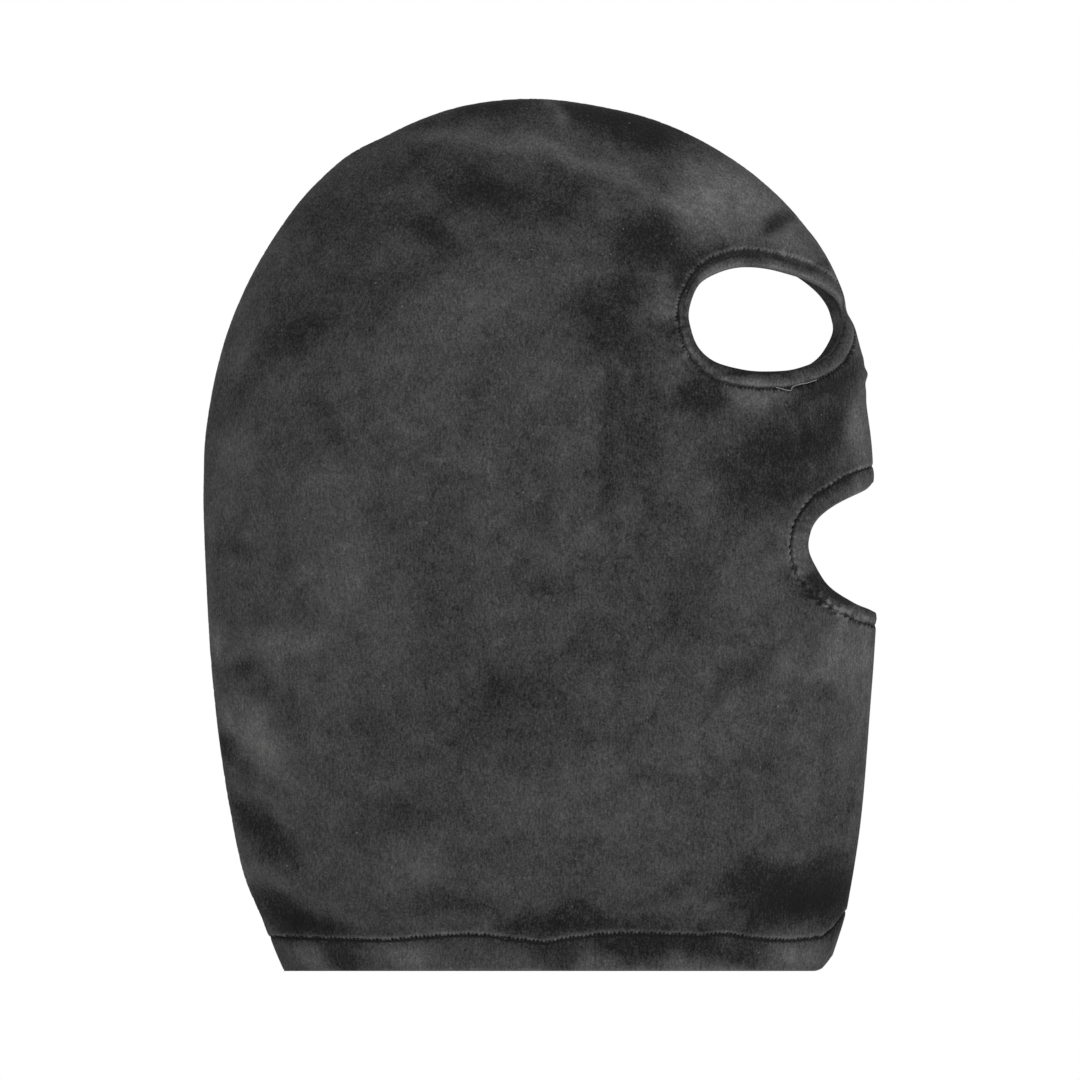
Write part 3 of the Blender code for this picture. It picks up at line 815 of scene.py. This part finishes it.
def hemProfile(width):
    # (in from the stitch row, down from the cloth's face), in mm, round a turned hem: over the soft
    # outer ply, round the folded edge, back under it and out to the raw edge
    w = width / mm
    points = [(0, 1.8), (0.1, 1.1), (0.3, 0.45), (0.65, 0.0), (1.2, -0.35), (1.9, -0.62)]
    points += [(1.9 + (w - 3.5) * k / 4, -0.72 - 0.22 * math.sin(math.pi * k / 4)) for k in (1, 2, 3)]
    points += [(w - 1.6 + 1.6 * math.cos(a), 1.3 + 2.0 * math.sin(a))
               for a in (math.radians(-85 + 19 * k) for k in range(10))]
    points += [(w - 2.4, 3.25), (w * 0.5, 3.3), (1.0, 3.15), (0, 2.95), (-1.2, 3.15), (-2.4, 3.1),
               (-2.8, 2.8), (-2.7, 2.5), (-2.0, 2.35), (-1.0, 2.3), (0, 2.4)]
    return points


def hemPlace(row, edge, side, a, d):
    # a place on a hem, a in from its stitch row and d down from the cloth's face
    width = max((edge - row).length, 0.1 * mm)
    flat = row.lerp(edge, a * mm / width)
    nearFold = min(abs(toRim(flat)), abs(toRim(edge)) + 1 * mm)
    d *= 1 - 0.62 * bell(nearFold, 4.5 * mm)
    place = clothPoint(flat, side) - clothNormal(flat, side) * d * mm
    apart = 0.3 * mm
    if toRim(row) > apart and toRim(edge) > apart:  # plies press together at the fold, and don't cross
        least = min(apart, 0.3 * abs(toRim(flat)))
        place.y = side * max(side * place.y, least)
    place.z = max(place.z, 0)  # the neck's lower edge rests on what the hood stands on
    return place


def ringMarks(ring):
    # how far along a closed ring each place is, and at the end the whole way round
    marks = [0]
    for p, q in zip(ring, ring[1:] + ring[:1]):
        marks.append(marks[-1] + (q - p).length)
    return marks


def looseness(i, count, long, own):
    # how a hem's outer ply puffs up and how its folded edge shifts, in mm; own tells the hems apart
    turn = math.tau * i / count
    at = Vector((math.cos(turn), math.sin(turn), 0)) * long / math.tau
    puff = (noise.noise(at / (8 * mm) + Vector((2, 5, own))) * 0.4
            + noise.noise(at / (2.6 * mm) + Vector((2, 9, own))) * 0.16)
    return puff, noise.noise(at / (13 * mm) + Vector((7, 1, own))) * 0.35


def makeHem(name, stations, stitch, seamDip=False):
    # stations is the hem's closed run of (stitch row, edge, side)
    count = len(stations)
    onRow = [clothPoint(row, side) for row, edge, side in stations]
    marks = ringMarks(onRow)
    cycle = round(marks[-1] / stitch) / marks[-1]  # whole stitches, so that the last meets the first
    outer, sunk = 12, 4  # profile points on the outer ply, and in the row's groove
    places, ups, shades = [], [], []
    for i, (row, edge, side) in enumerate(stations):
        width = (edge - row).length
        puff, shift = looseness(i, count, marks[-1], len(name))
        rough = rowRough(onRow[i], marks[i] * cycle)
        deep = rowDepth(onRow[i])
        calm = ease((toRim(row) + 1 * mm) / (3 * mm))
        ring, ringShade = [], []
        for k, (a, d) in enumerate(hemProfile(width)):
            outside = k < outer
            nearRow = bell(max(a, 0), 0.9) if outside else 0
            if k < sunk:
                d = -0.1 + (d + 0.1) * deep
            if outside:
                d -= 0.14 * rough * nearRow + puff * ease(a / 2)
            # painted shade in the row's groove and painted highlight on the tufts beside it, on the hem's
            # outer ply
            ringShade.append(rowShade(a * mm, onRow[i], marks[i] * cycle) if outside and a < 3 else 0)
            a += shift * ease((a - 1) / 3) + 0.3 * ease((a - width / mm + 2) / 2)
            a += (0.5 * rough * calm - 0.1) * nearRow
            if seamDip and row.x < 0:
                d += 1.1 * bell(toRim(row), 1.4 * mm) * (1 if outside else -0.4)
            ring.append(hemPlace(row, edge, side, a, d))
        places.append(ring)
        shades.append(ringShade)
        ups.append(clothNormal(row, side).z)
    around = len(places[0])
    kept = {"baseUp": lambda i, j: ups[i % count], "rowShade": lambda i, j: shades[i % count][j % around]}
    piece = wrapGrid(name, count, around, lambda i, j: places[i % count][j % around], [velourCloth], kept)
    markNapAndShade(piece)
    return piece


def pairs(row, edge, step, side):
    rowSteps, edgeSteps = stepsAlong(row, step, edge)
    return [(r, e, side) for r, e in zip(rowSteps, edgeSteps)]


def bothSides(row, edge, step):
    # once round: along the right side and back along the left
    right = pairs(row, edge, step, -1)
    return right + [(r, e, 1) for r, e, s in right[-2:0:-1]]


def roundEye(side, step):
    row, edge = eyeRows[side], eyeEdges[side]
    return pairs(row + row[:1], edge + edge[:1], step, side)[:-1]


hoodCloth = makeHood()
print("hood cloth made:", len(hoodCloth.data.polygons), "triangles")
hemStep = 0.5 * mm
hemRuns = {  # run, stitch, and the seed of its stitches' shakes
    "neck": (bothSides(neckRow, neckEdge, hemStep), neckHem["stitch"], 1),
    "mouth": (bothSides(mouthRow, mouthEdge, hemStep), mouthHem["stitch"], 2),
    "right_eye": (roundEye(-1, hemStep), eyeHem["stitch"], 3),
    "left_eye": (roundEye(1, hemStep), eyeHem["stitch"], 4),
}
hems = {}
for part, (run, stitch, seed) in hemRuns.items():
    hems[part + "_hem"] = makeHem(part + "_hem_velour", run, stitch, seamDip=part == "neck")
print("hems turned and stitched")

thread = {
    "thick": 0.34 * mm,
    "jitter": 0.06 * mm,
    "fill": 0.92,  # how much of a stitch's length its thread shows
    "needle": (-0.1, 0.85),  # in from the row and down from the cloth's face, in mm
    "bobbin": (-0.1, 3.2),
}


def makeStitches(name, places, long):
    # places is a list of (middle, way along): each stitch is a short thread that dives in at both ends
    bm = bmesh.new()
    size = Matrix.Diagonal((long, thread["thick"], thread["thick"], 1))
    shape = size @ Matrix.Rotation(math.pi / 2, 4, "Y")
    for middle, way in places:
        turned = way.to_track_quat("X", "Z").to_matrix().to_4x4()
        bmesh.ops.create_uvsphere(bm, u_segments=6, v_segments=5, radius=0.5,
                                  matrix=Matrix.Translation(middle) @ turned @ shape)
    return finishMesh(bm, name, [sewingThread])


def rowStitches(stations, stitch, a, d, seed):
    # even stitches round a hem, a in from the row and d down
    places = [hemPlace(row, edge, side, a, d) for row, edge, side in stations]
    lengths = ringMarks(places)
    count = round(lengths[-1] / stitch)
    pick = random.Random(seed)
    made = []
    for k in range(count):
        at = lengths[-1] * (k + 0.5) / count
        i = min(max(bisect.bisect_right(lengths, at), 1), len(places))
        p, q = places[i - 1], places[i % len(places)]
        ahead, behind = places[(i + 1) % len(places)], places[i - 2]
        way = (ahead - behind).normalized()
        shake = Vector([pick.uniform(-1, 1) for _ in range(3)]) * thread["jitter"]
        made.append((p.lerp(q, 0.5) + shake, (way + shake / (1.4 * mm)).normalized()))
    return made


rows = {}
for part, (run, stitch, seed) in hemRuns.items():
    for kind in ("needle", "bobbin"):
        node = part + "_" + kind + "_thread"
        sewn = rowStitches(run, stitch, *thread[kind], seed)
        rows[node] = makeStitches(node + "_stitches", sewn, stitch * thread["fill"])

threadTail = {  # the loose end of the right eye's needle thread, lying under the hem
    "route": [(91.6, 227.3), (93.9, 226.7), (95.8, 226.1), (97.4, 226.0), (98.1, 227.5), (101, 228.5),
              (103.5, 228.9), (107.4, 230.2)],
    "thick": 0.4 * mm,
    "above": 0.9 * mm,
    "sides": 6,
}


def wayAlong(line, i):
    # which way an open line runs at its point i
    return (line[min(i + 1, len(line) - 1)] - line[max(i - 1, 0)]).normalized()


def makeTail():
    points = [Vector(p) * mm for p in threadTail["route"]]
    route = smoothLine(points, 5, points[0] * 2 - points[1], points[-1] * 2 - points[-2])
    middles = []
    for p in route:
        flat = toPattern(p.x, p.y)
        middles.append(clothPoint(flat, -1) + clothNormal(flat, -1) * threadTail["above"])
    sides = threadTail["sides"]

    def place(i, j):
        along = wayAlong(middles, i)
        out = Vector((0, -1, 0)).cross(along).normalized()
        turn = math.tau * (j % sides) / sides
        way = out * math.cos(turn) + along.cross(out) * math.sin(turn)
        return middles[i] + way * threadTail["thick"] / 2

    return wrapGrid("right_eye_thread_tail", len(middles) - 1, sides, place, [looseThread], closed=False)


tail = makeTail()
print("stitch rows sewn")

# the crown and back seam, inside: two raw plies held upright by an overlocked edge

allowance = {
    "foot": 2.6 * mm,  # from the seam's crest down to where the plies stand free
    "wide": 6.2 * mm,
    "ply": 1.4 * mm,
    "footZ": 10 * mm,
    "step": 1.5 * mm,
    "straight": 2.3 * mm, "loop": 6.4 * mm,  # how long the needle's and the loopers' threads show
}
seamRim = [p for p in crownRim(allowance["footZ"])
           if p.x < 0 or math.atan2(p.y - headCentre, p.x) > math.radians(seam["start"])]
seamLine = [clothPoint(p, 1) for p in stepsAlong(seamRim, allowance["step"])]
seamPlaces = []
for i, q in enumerate(seamLine):
    along = wayAlong(seamLine, i)
    inward = Vector((along.z, 0, -along.x))
    if inward.dot(Vector((0, 0, 0.15)) - q) < 0:
        inward = -inward
    seamPlaces.append((Vector((q.x, 0, q.z)), inward))


def allowancePlace(i, down, across):
    # down from the seam's crest, across from its middle; the edge wanders where nothing holds it
    q, inward = seamPlaces[i]
    free = (down - allowance["foot"]) / allowance["wide"]
    sway = noise.noise(Vector((i * 0.09, 3, 1))) * 1.6 * mm * free
    sway += noise.noise(Vector((i * 0.3, 8, 1))) * 0.5 * mm * free
    return q + inward * down + Vector((0, across + sway, 0))


def makeAllowance(name, side):
    ply, wide, foot = allowance["ply"], allowance["wide"], allowance["foot"]
    ring = [(0, 0.05 * mm), (0, ply * 0.8), (wide * 0.3, ply), (wide * 0.7, ply),
            (wide - 0.5 * mm, ply * 0.95), (wide, ply * 0.6), (wide, 0.25 * mm), (wide * 0.6, 0.05 * mm)]

    def place(i, j):
        down, across = ring[j % len(ring)]
        return allowancePlace(i, foot + down, side * (0.12 * mm + across))

    return wrapGrid(name, len(seamPlaces) - 1, len(ring), place, [knitBack], closed=False)


plies = {"right_seam_allowance": makeAllowance("right_seam_ply", -1),
         "left_seam_allowance": makeAllowance("left_seam_ply", 1)}


def seamStitches(side, crossing):
    # stitches along the plies' foot on one side, or loops that cross from it to the raw edge
    low = allowance["foot"] + 1.0 * mm
    high = allowance["foot"] + allowance["wide"] + 0.2 * mm if crossing else low
    face = side * (allowance["ply"] + 0.25 * mm)
    made, i = [], 1.0
    while i < len(seamPlaces) - 3:
        p, q = allowancePlace(int(i), low, face), allowancePlace(int(i) + 1, high, face)
        made.append(((p + q) / 2, (q - p).normalized()))
        i += seam["stitch"] / allowance["step"]
    return made


rows["seam_needle_thread"] = makeStitches("seam_needle_thread_stitches", seamStitches(1, False),
                                          allowance["straight"])
for side, looper in ((-1, "seam_upper_looper"), (1, "seam_lower_looper")):
    rows[looper + "_thread"] = makeStitches(looper + "_loops", seamStitches(side, True), allowance["loop"])
print("crown and back seam overlocked")

for node, piece in [*hems.items(), *plies.items(), *rows.items()]:
    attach(piece, "root")
    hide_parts(node)
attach(tail, "root")
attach(hoodCloth, "root")
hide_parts("right_side", "left_side")

# camera, floor and soft light

studio = {
    "view": 0.4207, "eyeHeight": 0.1679, "away": 1.4,
    "floor": 4,
    "sky": 0.45,  # the backdrop's light; the camera sees it at 1
    "aim": (0, 0, 0.17),
    "lights": [("key", (0.2, -2.2, 0.9), 2.2, 30), ("brow", (1.8, -0.9, 0.7), 1.2, 12),
               ("back", (-0.8, 2.0, 1.2), 2.0, 22)],  # place, size and power
}
cameraData = bpy.data.cameras.new("camera")
cameraData.type = "ORTHO"
cameraData.ortho_scale = studio["view"]
camera = bpy.data.objects.new("camera", cameraData)
camera.location = (0, -studio["away"], studio["eyeHeight"])
camera.rotation_euler = (math.pi / 2, 0, 0)
bpy.context.scene.collection.objects.link(camera)
bpy.context.scene.camera = camera

bm = bmesh.new()
bmesh.ops.create_grid(bm, x_segments=1, y_segments=1, size=studio["floor"])
paper, paperTree, _ = newMaterial("paper_matt_white")  # seamless studio paper: matt and pale
paperShader = addNode(paperTree, "ShaderNodeBsdfPrincipled", {
    "Base Color": toLinear("#eeeeec"), "Roughness": 0.9})
addNode(paperTree, "ShaderNodeOutputMaterial", {"Surface": paperShader.outputs["BSDF"]})
finishMesh(bm, "floor", [paper])

world = bpy.data.worlds.new("studio")
world.use_nodes = True
world.node_tree.nodes.clear()
seen = addNode(world.node_tree, "ShaderNodeLightPath").outputs["Is Camera Ray"]
much = addNode(world.node_tree, "ShaderNodeMapRange", {
    "Value": seen, "To Min": studio["sky"], "To Max": 1.0}).outputs["Result"]
sky = addNode(world.node_tree, "ShaderNodeBackground", {"Color": (1, 1, 1, 1), "Strength": much})
addNode(world.node_tree, "ShaderNodeOutputWorld", {"Surface": sky.outputs["Background"]})
bpy.context.scene.world = world

for name, place, size, power in studio["lights"]:
    light = bpy.data.lights.new(name, "AREA")
    light.size = size
    light.energy = power
    lamp = bpy.data.objects.new(name, light)
    lamp.location = place
    lamp.rotation_euler = (Vector(studio["aim"]) - Vector(place)).to_track_quat("-Z", "Y").to_euler()
    bpy.context.scene.collection.objects.link(lamp)
bpy.context.scene.view_settings.view_transform = "Standard"
print("studio set")
